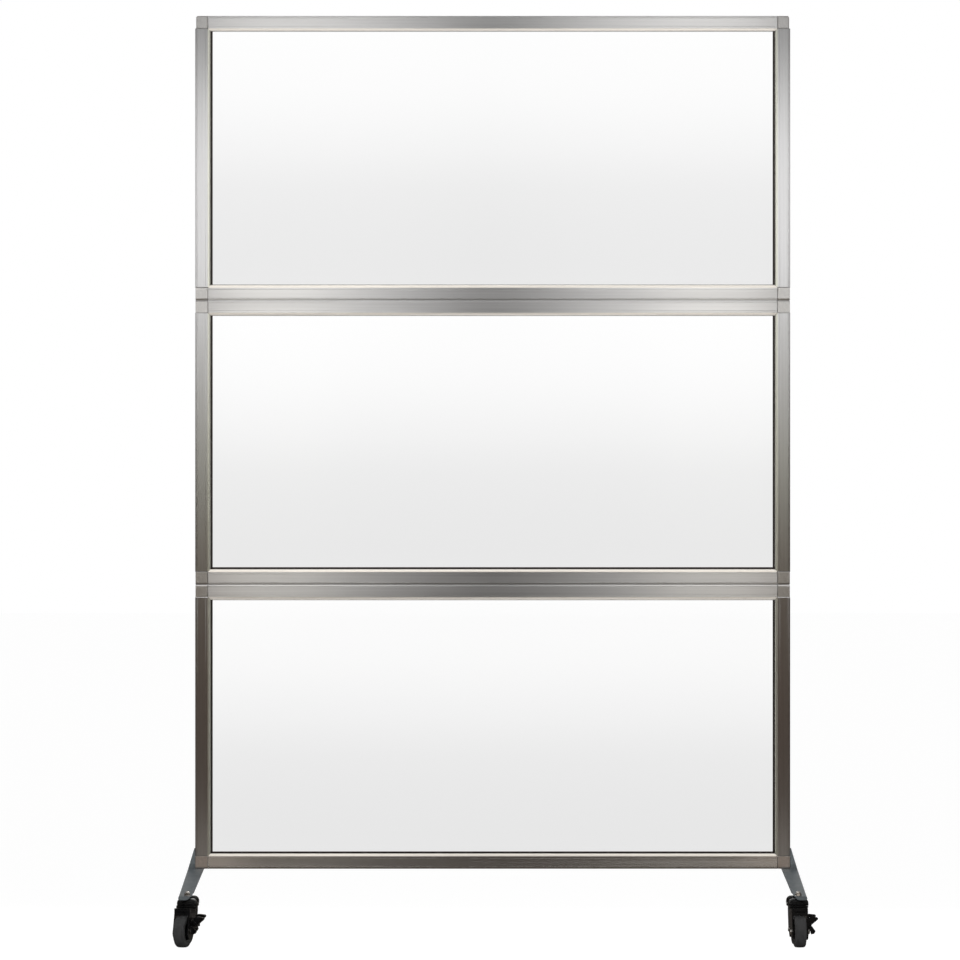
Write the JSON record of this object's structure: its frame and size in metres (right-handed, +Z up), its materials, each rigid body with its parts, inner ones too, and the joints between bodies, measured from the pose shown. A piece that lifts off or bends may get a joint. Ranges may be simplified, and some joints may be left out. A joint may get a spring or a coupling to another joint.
{
  "type": "portable medical divider",
  "caption": "Tall clear screen of stacked aluminium-framed panels on splayed legs with braked swivel casters, rolled between beds or desks to part them and stop spray.",
  "frame": {"origin": "on the floor under the middle of the footprint, casters included, to within the tolerance", "axes": "+Z up, +X to the right across the screen as seen from its front, -Y toward the front"},
  "size_m": [1.547, 0.6245, 2.2351],
  "materials": {
    "satin_aluminium": "satin anodised, brushed along the bar",
    "cast_aluminium": "matt cast",
    "clear_sheet": "clear, polished",
    "black_rubber": "extruded, dull",
    "slate_paint": "slate grey powder coat",
    "bright_steel": "bright plated",
    "black_plastic": "moulded, half gloss",
    "grey_tread": "smooth grey tread"
  },
  "bodies": {
    "screen": {"lower_left_stile": "satin_aluminium", "lower_right_stile": "satin_aluminium", "lower_bottom_rail": "satin_aluminium", "lower_top_rail": "satin_aluminium", "lower_bottom_left_corner": "cast_aluminium", "lower_bottom_right_corner": "cast_aluminium", "lower_top_left_corner": "cast_aluminium", "lower_top_right_corner": "cast_aluminium", "lower_gasket": "black_rubber", "lower_pane": "clear_sheet", "middle_left_stile": "satin_aluminium", "middle_right_stile": "satin_aluminium", "middle_bottom_rail": "satin_aluminium", "middle_top_rail": "satin_aluminium", "middle_bottom_left_corner": "cast_aluminium", "middle_bottom_right_corner": "cast_aluminium", "middle_top_left_corner": "cast_aluminium", "middle_top_right_corner": "cast_aluminium", "middle_gasket": "black_rubber", "middle_pane": "clear_sheet", "upper_left_stile": "satin_aluminium", "upper_right_stile": "satin_aluminium", "upper_bottom_rail": "satin_aluminium", "upper_top_rail": "satin_aluminium", "upper_bottom_left_corner": "cast_aluminium", "upper_bottom_right_corner": "cast_aluminium", "upper_top_left_corner": "cast_aluminium", "upper_top_right_corner": "cast_aluminium", "upper_gasket": "black_rubber", "upper_pane": "clear_sheet", "left_leg": "slate_paint", "right_leg": "slate_paint", "front_left_cap_nut": "bright_steel", "front_left_swivel_head": "black_plastic", "front_right_cap_nut": "bright_steel", "front_right_swivel_head": "black_plastic", "rear_left_cap_nut": "bright_steel", "rear_left_swivel_head": "black_plastic", "rear_right_cap_nut": "bright_steel", "rear_right_swivel_head": "black_plastic"},
    "front_left_caster": {"front_left_fork": "black_plastic", "front_left_axle_bolt": "bright_steel"},
    "front_left_wheel": {"front_left_wheel": "black_plastic", "front_left_tyre": "grey_tread"},
    "front_left_brake": {"front_left_brake_rocker": "black_plastic"},
    "front_right_caster": {"front_right_fork": "black_plastic", "front_right_axle_bolt": "bright_steel"},
    "front_right_wheel": {"front_right_wheel": "black_plastic", "front_right_tyre": "grey_tread"},
    "front_right_brake": {"front_right_brake_rocker": "black_plastic"},
    "rear_left_caster": {"rear_left_fork": "black_plastic", "rear_left_axle_bolt": "bright_steel"},
    "rear_left_wheel": {"rear_left_wheel": "black_plastic", "rear_left_tyre": "grey_tread"},
    "rear_left_brake": {"rear_left_brake_rocker": "black_plastic"},
    "rear_right_caster": {"rear_right_fork": "black_plastic", "rear_right_axle_bolt": "bright_steel"},
    "rear_right_wheel": {"rear_right_wheel": "black_plastic", "rear_right_tyre": "grey_tread"},
    "rear_right_brake": {"rear_right_brake_rocker": "black_plastic"}
  },
  "joints": [
    {"name": "front_left_swivel", "type": "hinge", "parent": "screen", "child": "front_left_caster", "pos_m": [-0.732, -0.23603, 0.097], "axis": [0, 0, 1], "continuous": true},
    {"name": "front_left_wheel_spin", "type": "hinge", "parent": "front_left_caster", "child": "front_left_wheel", "pos_m": [-0.74311, -0.27237, 0.0375], "axis": [0.9563, -0.2924, 0], "continuous": true},
    {"name": "front_left_brake_rock", "type": "hinge", "parent": "front_left_caster", "child": "front_left_brake", "pos_m": [-0.71142, -0.25592, 0.056], "axis": [0.2924, 0.9563, 0], "range_deg": [0, 12]},
    {"name": "front_right_swivel", "type": "hinge", "parent": "screen", "child": "front_right_caster", "pos_m": [0.732, -0.23603, 0.097], "axis": [0, 0, 1], "continuous": true},
    {"name": "front_right_wheel_spin", "type": "hinge", "parent": "front_right_caster", "child": "front_right_wheel", "pos_m": [0.73531, -0.27388, 0.0375], "axis": [0.9962, 0.0872, 0], "continuous": true},
    {"name": "front_right_brake_rock", "type": "hinge", "parent": "front_right_caster", "child": "front_right_brake", "pos_m": [0.75854, -0.24676, 0.056], "axis": [-0.0872, 0.9962, 0], "range_deg": [0, 12]},
    {"name": "rear_left_swivel", "type": "hinge", "parent": "screen", "child": "rear_left_caster", "pos_m": [-0.732, 0.28397, 0.097], "axis": [0, 0, 1], "continuous": true},
    {"name": "rear_left_wheel_spin", "type": "hinge", "parent": "rear_left_caster", "child": "rear_left_wheel", "pos_m": [-0.74311, 0.24763, 0.0375], "axis": [0.9563, -0.2924, 0], "continuous": true},
    {"name": "rear_left_brake_rock", "type": "hinge", "parent": "rear_left_caster", "child": "rear_left_brake", "pos_m": [-0.71142, 0.26408, 0.056], "axis": [0.2924, 0.9563, 0], "range_deg": [0, 12]},
    {"name": "rear_right_swivel", "type": "hinge", "parent": "screen", "child": "rear_right_caster", "pos_m": [0.732, 0.28397, 0.097], "axis": [0, 0, 1], "continuous": true},
    {"name": "rear_right_wheel_spin", "type": "hinge", "parent": "rear_right_caster", "child": "rear_right_wheel", "pos_m": [0.73531, 0.24612, 0.0375], "axis": [0.9962, 0.0872, 0], "continuous": true},
    {"name": "rear_right_brake_rock", "type": "hinge", "parent": "rear_right_caster", "child": "rear_right_brake", "pos_m": [0.75854, 0.27324, 0.056], "axis": [-0.0872, 0.9962, 0], "range_deg": [0, 12]}
  ]
}
